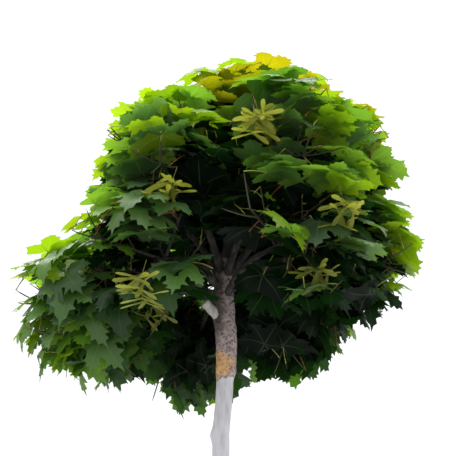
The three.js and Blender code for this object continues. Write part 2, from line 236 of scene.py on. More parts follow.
def trunk_centre(z):
    return np.array([trunk_column(1, z), trunk_column(2, z), z])


# ---- The space of a mass ------------------------------------------------------------------------


def centre_of(mass):
    return heading(mass["angle"]) * mass["out"] + UP * mass["z"]


class Space:
    """A mass's own space: its ellipsoid, cut by the planes that part it from the other masses."""

    def __init__(self, mass):
        self.centre = centre_of(mass)
        self.sizes = np.array([mass["half"], mass["half"], mass["rise"]])
        normals, limits = [], []
        for other in (other for other in MASSES if other is not mass):
            across = centre_of(other) - self.centre
            distance = np.linalg.norm(across)
            weights = mass["half"] ** 2 - other["half"] ** 2
            lengths = centre_of(other) @ centre_of(other) - self.centre @ self.centre
            normals.append(across / distance)
            limits.append((lengths + weights) / (2 * distance) - PARTING_GAP)
        self.normals = np.array(normals)
        self.limits = np.array(limits)

    def holds(self, points, reach=1.0, overhang=0.0):
        """Which of the points lie inside."""
        points = np.atleast_2d(points)
        inside = np.linalg.norm((points - self.centre) / self.sizes, axis=1) < reach
        return inside & np.all(points @ self.normals.T < self.limits + overhang, axis=1)

    def owns(self, point):
        """Whether the point lies on this mass's side of all its parting planes."""
        return bool(np.all(self.normals @ point < self.limits + PARTING_GAP))

    def run(self, start, direction):
        """How far a ray stays inside."""
        step, most = 0.010, 69
        inside = self.holds(start + direction * (step * np.arange(1, most + 1))[:, None])
        return step * (most if inside.all() else np.argmin(inside))


def middle_of(mass, space):
    """The middle of what the parting planes leave of a mass."""
    directions = even_directions(60, 0.0)
    samples = np.concatenate([
        space.centre + directions * share * mass["half"] for share in (0.3, 0.6, 0.9)])
    return samples[space.holds(samples)].mean(axis=0)


def last_stretch(mass, space):
    """Where a bough ends, the middle of its mass, and the direction from one to the other."""
    middle = middle_of(mass, space)
    inward = trunk_centre(mass["row"]) - middle
    inward[2] += 0.3 * math.hypot(inward[0], inward[1])
    inward = unit(inward) * 0.5 * min(mass["half"], mass["rise"])
    return middle + inward, middle, unit(-inward)


def bough_line(mass, space, count):
    """Points along a bough, which leaves the head upwards and bends out to its mass."""
    entry, _, arrival = last_stretch(mass, space)
    head = trunk_centre(min(mass["row"], TRUNK_TOP - 0.012))
    bend = entry - arrival * 0.5 * np.linalg.norm(head - entry)
    return bezier(head, bend, entry, count)


# ---- Growing the crown --------------------------------------------------------------------------

# Open places in the foliage, as centre and half sizes. Leaves keep their middles and tips out of them.
WINDOWS = np.array([
    [[0.150, -0.390, 2.470], [0.065, 0.150, 0.050]],
    [[-0.015, -0.360, 2.370], [0.050, 0.150, 0.060]],
    [[0.085, -0.330, 2.310], [0.075, 0.150, 0.045]],
    [[-0.260, -0.100, 2.050], [0.150, 0.350, 0.050]],
    [[0.345, -0.100, 2.165], [0.055, 0.300, 0.060]],
    [[-0.385, -0.100, 2.545], [0.060, 0.300, 0.040]],
    [[-0.230, -0.300, 2.330], [0.070, 0.300, 0.022]],
])
# Bunches of keys hang in full sight from the wood nearest to these places.
KEY_PLACES = np.array([
    [0.111, -0.400, 2.650], [-0.051, -0.350, 2.540], [-0.192, -0.370, 2.360], [-0.130, -0.093, 2.300],
    [0.212, -0.400, 2.430], [0.047, -0.340, 2.770]])
KEY_SIGHT = (0.0, 0.05, 0.11, 0.17)  # how far in front of them leaves keep clear
KEY_CLEARANCE = 0.055
# The five tips of a leaf of width 1: how far ahead, how far aside, and how far they hang.
LEAF_TIPS = np.array([[0.62, 0, 0.42], [0.37, 0.47, 0.29], [0.37, -0.47, 0.29], [-0.15, 0.36, 0.14],
                      [-0.15, -0.36, 0.14]])
# The farthest points of a bunch of keys from its middle, in bunch radii.
KEY_BODY = np.array([[1, 0, 0], [-1, 0, 0], [0, 1, 0], [0, -1, 0], [0, 0, 0.4], [0, 0, -0.6]])
KEY_RADIUS = 0.085
# The eye in front of the tree, and its sight of the graft that leaves keep free: where its middle is,
# how far it goes to each side, how high on the graft, and how far back.
EYE = np.array([0.0, -2.06, 1.60])
GRAFT_SIGHT = {"x": -0.010, "half_width": 0.072, "top": 2.318, "back": 0.03}
# Where stalks root along a stem, a twig and a shoot, and where shoots leave a twig.
STEM_ROOTS = (0.5, 0.7, 0.9, 1.0)
TWIG_ROOTS = (0.4, 0.7, 1.0)
SHOOT_ROOTS = (0.35, 0.7, 0.97)
SHOOT_FEET = (0.45, 0.78, 1.0)
# Twigs leave a stem all round but for its back, and reach this share of the way to the mass's skin.
TWIG_DIRECTIONS = 8
TWIG_REACH = 0.62
SHORTEST_TWIG = 0.045
SHORTEST_SHOOT = 0.03
SHORTEST_STALK, LONGEST_STALK = 0.045, 0.21
ROOT_CROWDING = 0.05  # how much farther a root counts for each leaf that it has already
LEAF_STEP = 0.018  # from one try to the next, going inwards
INNERMOST = 0.25  # no leaves within this share of the half width from a mass's middle
NEARBY = 0.16  # leaves farther off than this can't touch
LEAST_GAP = 0.022  # from a leaf's palm to its neighbours, and from a leaf to a limb
KEYS_APART = 0.13


def hides_graft(points):
    """Whether a point lies in front of the graft, seen from the front at eye height."""
    share = (points[:, 1] - EYE[1]) / -EYE[1]
    limit = EYE[2] + (GRAFT_SIGHT["top"] - EYE[2]) * share
    near = np.abs(points[:, 0] - GRAFT_SIGHT["x"]) < GRAFT_SIGHT["half_width"] * share
    return bool(np.any(near & (points[:, 2] < limit) & (points[:, 1] < GRAFT_SIGHT["back"])))


def in_window(points):
    """Whether a point lies in one of the open places."""
    return any(np.any(np.sum(((points - centre) / sizes) ** 2, axis=1) < 1) for centre, sizes in WINDOWS)


def bend_of(facing):
    """How far leaves are bent: level ones are flatter than hanging ones."""
    return 1.0 - 0.6 * np.clip(facing[..., 2], 0, 1)


def places_on(start, end, shares):
    """The places at some shares of the way along a straight line."""
    return [between(start, end, share) for share in shares]


class Crown:
    """The wood, leaves and keys of the crown, grown once and shared by the operators."""

    def __init__(self, settings):
        self.settings = settings
        self.stems, self.twigs, self.shoots = [], [], []
        self.leaves, self.bunches = [], []
        self.touch = np.zeros((0, 3))
        self.clear = np.array([
            place - UP * 0.03 + unit(EYE - place) * ahead for place in KEY_PLACES for ahead in KEY_SIGHT])
        spaces = [Space(mass) for mass in MASSES]
        self.boughs = [bough_line(mass, space, 32) for mass, space in zip(MASSES, spaces)]
        # Leaves keep clear of these points along the boughs and the head of the trunk.
        head = np.array([trunk_centre(z) for z in np.linspace(1.95, TRUNK_TOP, 22)])
        self.limb_points = np.concatenate([line[::2] for line in self.boughs] + [head])
        for number, (mass, space) in enumerate(zip(MASSES, spaces)):
            self.grow_mass(mass, space, seeded_random(FIRST_SEED + number))

    @staticmethod
    def tips_of(leaf):
        """The tips of a leaf's five lobes."""
        sideways = np.cross(leaf["tipward"], leaf["facing"])
        hang = bend_of(leaf["facing"]) * leaf["facing"]
        return leaf["palm"] + leaf["width"] * LEAF_TIPS @ np.array([leaf["tipward"], sideways, -hang])

    def touch_of(self, leaf):
        """Points on a leaf that keep their distance from those of other leaves."""
        return np.vstack([between(leaf["palm"], self.tips_of(leaf), 0.62), [leaf["palm"]]])

    def grow_mass(self, mass, space, random):
        """One mass: its wood, its leaves and its keys. Shoots that no leaf grows on are left out."""
        first_shoot = len(self.shoots)
        roots, sprays, middle, away = self.grow_wood(mass, space, random)
        self.grow_leaves(mass, space, roots, sprays, middle, away, random)
        leafy = {tuple(leaf["root"]) for leaf in self.leaves if leaf["mass"] == mass["name"]}
        self.shoots[first_shoot:] = [
            shoot for shoot in self.shoots[first_shoot:]
            if any(tuple(place) in leafy for place in places_on(shoot[0], shoot[2], SHOOT_ROOTS))]
        self.hang_keys(space, roots, away, random)

    def grow_wood(self, mass, space, random):
        """The mass's own stem, its twigs and its finer shoots, and where stalks can root on them."""
        entry, middle, _ = last_stretch(mass, space)
        away = unit(middle - CROWN_HEART)
        self.stems.append((entry, middle))
        roots = places_on(entry, middle, STEM_ROOTS)
        sprays = [random()] * len(roots)
        for number, direction in enumerate(even_directions(TWIG_DIRECTIONS, 2 * math.pi * random())):
            if direction @ away < -0.5:
                continue
            start = between(entry, middle, 0.55 + 0.45 * number / TWIG_DIRECTIONS)
            reach = TWIG_REACH * space.run(start, direction)
            if reach <= SHORTEST_TWIG:
                continue
            end = start + direction * reach
            sag = UP * 0.05 * reach * (random() - 0.3)
            self.twigs.append((start, between(start, end, 0.5) + sag, end))
            roots += places_on(start, end, TWIG_ROOTS)
            sprays += [random()] * len(TWIG_ROOTS)
            self.grow_shoots(space, start, end, direction, away, roots, sprays, random)
        return np.array(roots), sprays, middle, away

    def grow_shoots(self, space, start, end, direction, away, roots, sprays, random):
        """Opposite pairs of fine shoots along a twig, and one that carries its tip on."""
        side = unit(np.cross(direction, UP + 0.01 * away))
        cross = np.cross(side, direction)
        turn = 2 * math.pi * random()
        for share in SHOOT_FEET:
            turn += math.pi / 2
            base = between(start, end, share)
            across = side * math.cos(turn) + cross * math.sin(turn)
            ways = [direction + across * 1.1, direction - across * 1.1, direction]
            for way in ways if share == 1.0 else ways[:2]:
                way = unit(way + away * 0.25)
                reach = min(0.06 + 0.11 * random(), 0.75 * space.run(base, way))
                if reach < SHORTEST_SHOOT:
                    continue
                tip = base + way * reach
                bend = between(base, tip, 0.5) - UP * 0.08 * reach
                self.shoots.append((base, bend, tip))
                roots += places_on(base, tip, SHOOT_ROOTS)
                sprays += [random()] * len(SHOOT_ROOTS)

    def hang_keys(self, space, roots, away, random):
        """Bunches of keys hang in full sight, and then from the outermost roots with room below."""
        hung = []
        for place in KEY_PLACES:
            if space.owns(place):
                hung.append(roots[np.argmin(np.linalg.norm(roots - place - UP * 0.02, axis=1))])
                self.bunches.append((hung[-1], away, random()))
        for root in roots[np.argsort(-(roots @ away))]:
            if len(hung) >= self.settings.bunches:
                break
            body = root - UP * 0.06 + KEY_RADIUS * KEY_BODY
            apart = all(np.linalg.norm(root - other) > KEYS_APART for other in hung)
            if apart and space.holds(body, reach=0.86, overhang=0.04).all() and not hides_graft(body):
                hung.append(root)
                self.bunches.append((root, away, random()))

    def grow_leaves(self, mass, space, roots, sprays, middle, away, random):
        """Leaves from the outside in, each rooted at a near place on the wood."""
        settings = self.settings
        sites = even_directions(settings.sites, 2 * math.pi * random())
        order = (np.arange(len(sites)) * 89) % len(sites)
        used = np.zeros(len(roots), dtype=int)
        grown = 0
        for site in sites[order]:
            if site @ away < -0.6:
                continue
            layers = 0
            out = space.run(middle, site)
            while (out > INNERMOST * mass["half"] and layers < settings.layers
                   and grown < settings.leaves_per_mass):
                palm = middle + site * out
                width = settings.leaf_width * (1 + settings.width_spread * (2 * random() - 1))
                leaf = self.try_leaf(space, palm, width, roots, used, random)
                out -= LEAF_STEP
                if leaf is not None:
                    self.leaves.append(dict(leaf, spray=sprays[leaf["owner"]], mass=mass["name"]))
                    layers += 1
                    grown += 1

    def try_leaf(self, space, palm, width, roots, used, random):
        """One leaf, or None where it would leave the space, touch a limb or crowd its neighbours."""
        near_leaves = self.touch[np.abs(self.touch - palm).max(axis=1) < NEARBY]
        if len(near_leaves) and np.linalg.norm(near_leaves - palm, axis=1).min() < LEAST_GAP:
            return None
        reach = np.linalg.norm(roots - palm, axis=1)
        near = np.argsort(reach + ROOT_CROWDING * used)[:4]
        # Low leaves hang and face outwards, and all but those at the back turn towards the front.
        outward = unit(palm - CROWN_HEART)
        low = min(1.0, max(0.0, 0.15 - 1.3 * outward[2]))
        frontward = -0.8 if palm[1] < (0.30 if abs(palm[0]) > 0.30 else 0.10) else 0.0
        level = unit(np.array([outward[0], outward[1] + frontward, 0.0]) + 1e-6)
        for index in near:
            wobble = 0.7 * (np.array([random(), random(), random()]) - 0.5)
            lean = 0.45 * random() - 0.25 + 0.90 * low
            facing = unit(UP * (0.95 - 0.45 * low) + level * lean + wobble)
            tipwobble = 0.5 * (np.array([random(), random(), random()]) - 0.5)
            if not SHORTEST_STALK < reach[index] < LONGEST_STALK:
                continue
            root = roots[index]
            stalkward = unit(root - palm)
            tipward = tipwobble - stalkward + level * 0.35 - UP * (0.25 + 0.6 * low)
            tipward = unit(tipward - facing * (tipward @ facing))
            flat = stalkward - facing * (stalkward @ facing)
            if np.linalg.norm(flat) > 0.25 and -unit(flat) @ tipward < 0.30:
                continue
            leaf = {"palm": palm, "facing": facing, "tipward": tipward, "root": root, "width": width,
                    "owner": index}
            tips = self.tips_of(leaf)
            if not space.holds(tips, reach=0.97, overhang=0.03).all():
                continue
            touch = self.touch_of(leaf)
            if in_window(touch) or in_window(tips) or hides_graft(tips):
                continue
            if self.covers_keys(np.vstack([tips, [palm]])):
                continue
            if len(near_leaves):
                gaps = np.linalg.norm(near_leaves[None] - touch[:, None], axis=2)
                if gaps.min() < self.settings.clearance:
                    continue
            checked = np.vstack([tips[:3], palm, between(palm, root, 0.5)])
            if np.linalg.norm(self.limb_points[None] - checked[:, None], axis=2).min() < LEAST_GAP:
                continue
            used[index] += 1
            self.touch = np.vstack([self.touch, touch])
            return dict(leaf, draw=random())
        return None

    def covers_keys(self, points):
        """Whether a point lies in front of the keys that hang in full sight."""
        gaps = np.linalg.norm(points[:, None] - self.clear[None], axis=2)
        return bool(np.any(gaps < KEY_CLEARANCE))


# ---- Leaf shapes --------------------------------------------------------------------------------

# A lobe's edge from the notch to its tip: how far along the lobe, and how far from its vein, as
# shares of the lobe's length. The far points are the tips of its teeth.
LONG_LOBE_EDGE = [(0.64, 0.235), (0.745, 0.320), (0.775, 0.170), (0.875, 0.185), (0.895, 0.060)]
FOOT_LOBE_EDGE = [(0.70, 0.270), (0.79, 0.310), (0.81, 0.140), (0.90, 0.130), (0.915, 0.045)]
LONG_LOBE_VEIN = [0.0, 0.28, 0.50, 0.66, 0.82]
FOOT_LOBE_VEIN = [0.0, 0.35, 0.62, 0.82]
VEIN_HALF_WIDTH = 0.0075
NOTCHES = [(-160, 0.15), (-84, 0.30), (-27, 0.37), (27, 0.37), (84, 0.30), (160, 0.15)]  # degrees, reach
TEMPLATES = 12


def lobe_of(heading_degrees, length, long_edges=True):
    """A lobe's direction and length, and whether it has the long lobes' edge or the foot lobes'."""
    return {"heading": heading_degrees, "length": length, "long": long_edges}


def stitched(rail, outline, hand):
    """Triangles between a lobe's vein and its edge, both given as (share, point) from foot to tip."""
    faces = []
    i, j = 0, 0
    while i < len(rail) - 1 or j < len(outline) - 1:
        a, b = rail[i][1], outline[j][1]
        if j == len(outline) - 1 or (i < len(rail) - 1 and rail[i + 1][0] <= outline[j + 1][0]):
            i += 1
            c = rail[i][1]
        else:
            j += 1
            c = outline[j][1]
        if len({a, b, c}) == 3:
            faces.append((a, b, c) if hand < 0 else (a, c, b))
    return faces


def leaf_template(random):
    """One leaf shape of width 1, its palm at the origin: points, triangles, and which are vein."""
    def vary(amount):
        return 1 + amount * (2 * random() - 1)

    lobes = [
        lobe_of(-115 * vary(0.03), 0.42 * vary(0.10), False),
        lobe_of(-54 * vary(0.06), 0.585 * vary(0.05)),
        lobe_of(0, 0.62 * vary(0.04)),
        lobe_of(54 * vary(0.06), 0.585 * vary(0.05)),
        lobe_of(115 * vary(0.03), 0.42 * vary(0.10), False)]
    pleat, droop, lift = 0.20 * vary(0.6), 0.36 * vary(0.5), 0.035 * vary(0.4)
    points, faces, vein_faces = [], [], []

    def add_point(x, y, z):
        points.append((x, y, z))
        return len(points) - 1

    def notch_point(degrees, reach):
        angle = math.radians(degrees)
        return add_point(reach * math.sin(angle), reach * math.cos(angle), lift - droop * reach ** 2)

    notch_points = [notch_point(*notch) for notch in NOTCHES]
    for number, lobe in enumerate(lobes):
        angle = math.radians(lobe["heading"])
        ahead = (math.sin(angle), math.cos(angle))
        length = lobe["length"]
        tilt = 0.26 * (2 * random() - 1)
        curl = 0.42 * random()

        def place(share, aside):
            x = length * (share * ahead[0] + aside * ahead[1])
            y = length * (share * ahead[1] - aside * ahead[0])
            reach = length * math.hypot(share, aside)
            z = -droop * reach ** 2 + tilt * length * share ** 2 - curl * length * share ** 4
            fold = pleat * abs(aside) * length * (1 - share)
            return add_point(x, y, z + fold - 0.35 * length * aside ** 2)

        vein = LONG_LOBE_VEIN if lobe["long"] else FOOT_LOBE_VEIN
        edge = LONG_LOBE_EDGE if lobe["long"] else FOOT_LOBE_EDGE
        tip = place(1.0, 0.0)
        rails = {}
        for hand in (-1, 1):
            rails[hand] = [place(share, hand * VEIN_HALF_WIDTH * (1.15 - share) / length) for share in vein]
            rails[hand].append(tip)
        left, right = rails[-1], rails[1]
        for here, after in zip(range(len(vein) - 1), range(1, len(vein))):
            vein_faces += [(left[here], right[after], right[here]), (left[here], left[after], right[after])]
        vein_faces.append((left[-2], tip, right[-2]))
        for hand in (-1, 1):
            outline = [(0.50, notch_points[number + (hand > 0)])]
            for share, aside in edge:
                share_here = share * vary(0.025)
                outline.append((share_here, place(share_here, hand * aside * vary(0.16))))
            outline.append((1.0, tip))
            faces += stitched(list(zip(vein + [1.0], rails[hand])), outline, hand)
    triangles = np.array(faces + vein_faces)
    is_vein = np.concatenate([np.zeros(len(faces), int), np.ones(len(vein_faces), int)])
    shape = np.array(points)
    corners = shape[triangles][:, :, :2]
    first, second = corners[:, 1] - corners[:, 0], corners[:, 2] - corners[:, 0]
    clockwise = first[:, 0] * second[:, 1] - first[:, 1] * second[:, 0] < 0
    triangles[clockwise] = triangles[clockwise][:, ::-1]
    return shape, triangles, is_vein


# ---- Materials ----------------------------------------------------------------------------------


def plug(socket, value):
    """Sets a socket to a number or a colour, or joins it to the socket that feeds it."""
    if isinstance(value, bpy.types.NodeSocket):
        socket.id_data.links.new(value, socket)
    else:
        socket.default_value = (*value, 1) if socket.type == "RGBA" else value


def add_node(tree, kind, inputs, **options):
    """A node of one kind, with its options chosen and its inputs set or joined."""
    node = tree.nodes.new(kind)
    for option, choice in options.items():
        setattr(node, option, choice)
    for name, value in inputs.items():
        plug(node.inputs[name], value)
    return node


def new_material(name):
    """A material, its nodes' tree and its face."""
    material = bpy.data.materials.new(name)
    material.use_nodes = True
    return material, material.node_tree, material.node_tree.nodes["Principled BSDF"]


def set_face(face, colour, roughness, gloss=0.5):
    """Sets a face's colour, how dull it is, and how much it reflects."""
    plug(face.inputs["Base Color"], colour)
    plug(face.inputs["Roughness"], roughness)
    plug(face.inputs["Specular IOR Level"], gloss)


def plain_material(name, colour, roughness):
    material, _, face = new_material(name)
    set_face(face, colour, roughness)
    return material


def leaf_material(name, colour, glow, gloss=0.40):
    """A leaf: a satin face, mixed with the light that shines through it."""
    material, tree, face = new_material(name)
    set_face(face, colour, 0.42, gloss)
    through = add_node(tree, "ShaderNodeBsdfTranslucent", {"Color": glow})
    mix = add_node(tree, "ShaderNodeMixShader", {
        "Fac": 0.50, 1: face.outputs["BSDF"], 2: through.outputs["BSDF"]})
    plug(tree.nodes["Material Output"].inputs["Surface"], mix.outputs["Shader"])
    return material


def ramp(tree, factor, stops):
    """A colour that runs through the stops as a factor rises."""
    node = add_node(tree, "ShaderNodeValToRGB", {"Fac": factor})
    elements = node.color_ramp.elements
    while len(elements) < len(stops):
        elements.new(0.5)
    for element, (position, colour) in zip(elements, stops):
        element.position = position
        element.color = (*colour, 1)
    return node.outputs["Color"]


def grain(tree, place, scale, detail, roughness=0.5):
    """An uneven pattern, as a number from 0 to 1 at each place."""
    return add_node(tree, "ShaderNodeTexNoise", {
        "Vector": place, "Scale": scale, "Detail": detail, "Roughness": roughness}).outputs["Fac"]


def combine(tree, operation, *values):
    """The result of one step of arithmetic with numbers and sockets."""
    return add_node(tree, "ShaderNodeMath", dict(enumerate(values)), operation=operation).outputs["Value"]


def fade(tree, value, start, end):
    """0 where a value is at `start`, rising to 1 at `end`."""
    return add_node(tree, "ShaderNodeMapRange", {
        "From Min": start, "From Max": end, "Value": value}).outputs["Result"]


def band(tree, value, low, high, soft):
    """1 where a value lies between two limits, fading over `soft` at both."""
    rise = fade(tree, value, low - soft, low + soft)
    return combine(tree, "MULTIPLY", rise, fade(tree, value, high + soft, high - soft))


def blend(tree, factor, below, above):
    """One colour over another, by a factor."""
    return add_node(tree, "ShaderNodeMix", {0: factor, 6: below, 7: above}, data_type="RGBA").outputs[2]


def bark_material(name, colours, graft=False):
    """Bark: mottled grey with fine streaks and, on the trunk, the rough scarred skin of the graft."""
    material, tree, face = new_material(name)
    place = add_node(tree, "ShaderNodeTexCoord", {}).outputs["Object"]
    stretched = add_node(tree, "ShaderNodeMapping", {"Vector": place, "Scale": (1.0, 1.0, 0.25)})
    streaks = grain(tree, stretched.outputs["Vector"], 90.0, 6.0)
    colour = ramp(tree, streaks, list(zip((0.30, 0.52, 0.72), colours)))
    if graft:
        colour = graft_colours(tree, place, greyer_below(tree, place, colour))
    set_face(face, colour, 0.82, 0.25)
    bump = add_node(tree, "ShaderNodeBump", {
        "Strength": 0.35, "Distance": 0.0012, "Height": grain(tree, place, 320.0, 4.0)})
    plug(face.inputs["Normal"], bump.outputs["Normal"])
    return material


# The graft's skin, its rusty scar, darker bark on the left above the scar, and the shadow under its lip.
SCAB_COLOURS = [(0.36, (0.090, 0.062, 0.060)), (0.47, (0.360, 0.285, 0.270)), (0.62, (0.560, 0.470, 0.430))]
RUST_COLOURS = [(0.35, (0.360, 0.190, 0.090)), (0.50, (0.740, 0.400, 0.160)), (0.68, (0.820, 0.560, 0.300))]
DARK_UPPER_LEFT_BARK = (0.070, 0.048, 0.042)
LIP_SHADOW = (0.120, 0.085, 0.075)
GREY_BARK = (0.30, 0.28, 0.28)


def graft_colours(tree, place, colour):
    """The graft: rough mauve-grey bark above, and an orange-brown scar on the left above its lip."""
    shift = combine(tree, "MULTIPLY_ADD", grain(tree, place, 42.0, 6.0), 0.060, -0.030)
    split = add_node(tree, "ShaderNodeSeparateXYZ", {"Vector": place})
    height = combine(tree, "ADD", split.outputs["Z"], shift)
    sideways = combine(tree, "ADD", split.outputs["X"], shift)
    scabs = grain(tree, place, 135.0, 5.0, 0.65)
    rough = band(tree, height, 2.152, 2.60, 0.004)
    colour = blend(tree, rough, colour, ramp(tree, scabs, SCAB_COLOURS))
    # Darker bark on the left of the graft, from above the scar upwards.
    darker = combine(tree, "MULTIPLY", band(tree, height, 2.262, 2.60, 0.020),
                  band(tree, sideways, -0.20, 0.002, 0.010))
    colour = blend(tree, combine(tree, "MULTIPLY", darker, 0.80), colour, DARK_UPPER_LEFT_BARK)
    scar = combine(tree, "MULTIPLY", band(tree, height, 2.156, 2.208, 0.009),
                   band(tree, sideways, -0.20, 0.019, 0.008))
    colour = blend(tree, scar, colour, ramp(tree, scabs, RUST_COLOURS))
    lip = band(tree, height, 2.1475, 2.1525, 0.0016)
    return blend(tree, combine(tree, "MULTIPLY", lip, 0.75), colour, LIP_SHADOW)


def greyer_below(tree, place, colour):
    """Bark that greys from 2 m up down to 1.2 m."""
    split = add_node(tree, "ShaderNodeSeparateXYZ", {"Vector": place})
    amount = combine(tree, "MULTIPLY", fade(tree, split.outputs["Z"], 2.0, 1.2), 0.65)
    return blend(tree, amount, colour, GREY_BARK)


def cut_wood_material():
    """Weathered sawn wood with a faint grain."""
    material, tree, face = new_material("cut_wood")
    place = add_node(tree, "ShaderNodeTexCoord", {}).outputs["Object"]
    tint = ramp(tree, grain(tree, place, 160.0, 5.0), [(0.3, (0.50, 0.42, 0.32)), (0.7, (0.80, 0.76, 0.68))])
    set_face(face, tint, 0.85)
    return material


# ---- A leaf's colours ---------------------------------------------------------------------------

TONE_VARIANTS = [(1.00, 1.00), (0.76, 0.94), (1.12, 1.08)]  # brightness, and warmth of the red part
VEIN_LIGHT = (0.50, 0.56, 0.22)


def redraw(draw, factor):
    """Another even number from 0 to 1 out of a leaf's own."""
    return (draw * factor) % 1


def variant_of(leaf):
    """Which shade of its tone a leaf has, mostly alike within a spray."""
    return int(leaf["spray"] * 997 + leaf["draw"] * 2) % len(TONE_VARIANTS)


def tone_of(leaf):
    """A leaf's colour by its spray and place, with painted light and shade: painted shade deep inside and
    below, painted light high up, far out and at the sides, and yellow at the very top, which is partly the
    young leaves' own tint and partly painted light.
    """
    palm = leaf["palm"]
    outward = np.linalg.norm((palm - CROWN_HEART) / np.array([0.50, 0.48, 0.50]))
    draw = 0.7 * leaf["spray"] + 0.3 * redraw(leaf["draw"], 733)
    aside = max(0.0, abs(palm[0] - 0.01) - 0.22)
    # How much painted light a leaf gets: more high up, far out and towards the sides, spread a little by
    # spray.
    light = 0.9 * (palm[2] - 2.42) + 0.9 * (outward - 0.84) + 1.3 * aside + 0.90 * (draw - 0.40)
    # Leaves deep inside get the darkest tone as painted shade.
    if outward < 0.66 + 0.12 * draw:
        return "shade"
    # Yellow at the very top: partly the young leaves' own tint, partly painted light.
    if palm[2] > 2.83 and draw > 0.35:
        return "yellow"
    # The more painted light, the paler the tone, from lime down to the painted shade of the deep tone.
    for tone, least in (("lime", 0.44), ("fresh", 0.20), ("middle", -0.08)):
        if light > least:
            return tone
    return "deep"


def tone_materials(tone, colour):
    """For each variant of a tone, the material of a leaf's face and that of its paler veins."""
    yellow = tone == "yellow"
    gloss = 0.12 if tone == "shade" else 0.40
    materials = []
    for number, (dim, warm) in enumerate(TONE_VARIANTS, 1):
        if yellow:
            dim = max(dim, 0.92)
        red, green, blue = (part * dim for part in colour)
        red *= warm
        glow = (min(1, (1.9 if yellow else 1.35) * red + 0.5 * green * green),
                min(1, 1.65 * green + 0.02), 0.5 * blue)
        materials.append(leaf_material(f"leaf_{tone}_{number}", (red, green, blue), glow, gloss))
        pale = tuple(1.3 * part + 0.16 * light for part, light in zip((red, green, blue), VEIN_LIGHT))
        pale_glow = tuple(min(1, 1.1 * part) for part in glow)
        materials.append(leaf_material(f"vein_{tone}_{number}", pale, pale_glow))
    return materials


# ---- Settings -----------------------------------------------------------------------------------


def distance(name, description, default):
    return bpy.props.FloatProperty(
        name=name, description=description, default=default, subtype="DISTANCE", unit="LENGTH")


def colour_choice(name, description, default):
    return bpy.props.FloatVectorProperty(
        name=name, description=description, default=default, subtype="COLOR")


class MapleTrunkSettings(bpy.types.PropertyGroup):
    """Sizes of the trunk's bark."""
    sides: bpy.props.IntProperty(
        name="Points round", description="Points round the trunk", default=72, min=12)
    relief: distance("Relief", "Depth of the smooth bark's relief", 0.0005)
    graft_relief: distance("Graft relief", "Depth of the rough bark at the graft", 0.0022)


class MapleCrownSettings(bpy.types.PropertyGroup):
    """How full the crown is, and the sizes of its leaves."""
    sites: bpy.props.IntProperty(
        name="Sites", description="Directions tried for leaves in each mass", default=220, min=10)
    layers: bpy.props.IntProperty(
        name="Layers", description="Most leaves along one direction", default=3, min=1)
    clearance: distance("Leaf clearance", "Least distance between points of two leaves", 0.015)
    leaves_per_mass: bpy.props.IntProperty(
        name="Leaves per mass", description="Most leaves in one mass", default=150, min=1)
    bunches: bpy.props.IntProperty(
        name="Key bunches", description="Bunches of keys in each mass", default=2, min=0)
    leaf_width: distance("Leaf width", "Mean width of a leaf", 0.148)
    width_spread: bpy.props.FloatProperty(
        name="Width spread", description="How much the width varies, as a share", default=0.20,
        subtype="FACTOR")
    stalk_radius: distance("Stalk radius", "Radius of a leaf stalk", 0.0011)


class MapleColourSettings(bpy.types.PropertyGroup):
    """Leaf colours: lit and shaded copies of one leaf green, from the painted deep shade inside through
    painted light to the yellow at the top.
    """
    # Shade and deep are painted shade; middle and fresh are steps of painted light.
    shade: colour_choice("Shade", "Leaves deep inside the crown", (0.007, 0.016, 0.008))
    deep: colour_choice("Deep", "Shaded leaves", (0.032, 0.068, 0.027))
    middle: colour_choice("Middle", "Leaves in middling light", (0.090, 0.172, 0.058))
    fresh: colour_choice("Fresh", "Leaves in good light", (0.125, 0.250, 0.042))
    # Lime is painted light, given to the leaves high up, far out or at the sides.
    lime: colour_choice("Lime", "Young leaves", (0.195, 0.310, 0.012))
    # Yellow is partly the young leaves' own tint and partly painted light.
    yellow: colour_choice("Yellow", "The youngest leaves at the top", (0.205, 0.235, 0.007))


class MapleStageSettings(bpy.types.PropertyGroup):
    """Where the camera stands and how it looks."""
    camera_distance: distance("Camera distance", "How far the camera stands in front", 2.06)
    camera_height: distance("Camera height", "Eye height above the ground", 1.60)
    camera_pitch: bpy.props.FloatProperty(
        name="Camera pitch", description="How far the camera looks up", default=math.radians(25),
        subtype="ANGLE", unit="ROTATION")
    lens: bpy.props.FloatProperty(
        name="Lens", description="Focal length in millimetres", default=67.2, min=10)


SETTINGS = {
    "maple_trunk": MapleTrunkSettings,
    "maple_crown": MapleCrownSettings,
    "maple_colours": MapleColourSettings,
    "maple_stage": MapleStageSettings,
}
grown = {}


def columns(leaves, *keys):
    """What many leaves hold under each key, as arrays."""
    return [np.array([leaf[key] for leaf in leaves]) for key in keys]


def crown_for(context):
    """The grown crown, made once for the scene's settings."""
    if "crown" not in grown:
        grown["crown"] = Crown(context.scene.maple_crown)
    return grown["crown"]


# ---- Operators ----------------------------------------------------------------------------------


TRUNK_GREYS = [(0.520, 0.495, 0.512), (0.650, 0.632, 0.650), (0.720, 0.708, 0.720)]
STUB_GREYS = [(0.36, 0.33, 0.29), (0.55, 0.52, 0.47), (0.70, 0.67, 0.62)]
BOUGH_BROWNS = [(0.022, 0.018, 0.015), (0.052, 0.044, 0.038), (0.10, 0.088, 0.078)]
# The knot and the callus at the graft: height, heading in degrees, bulge and spread.
SWELLINGS = [(2.012, 188, 0.006, 0.016), (2.158, 320, 0.0045, 0.012)]
ROUGH_FROM = 2.150


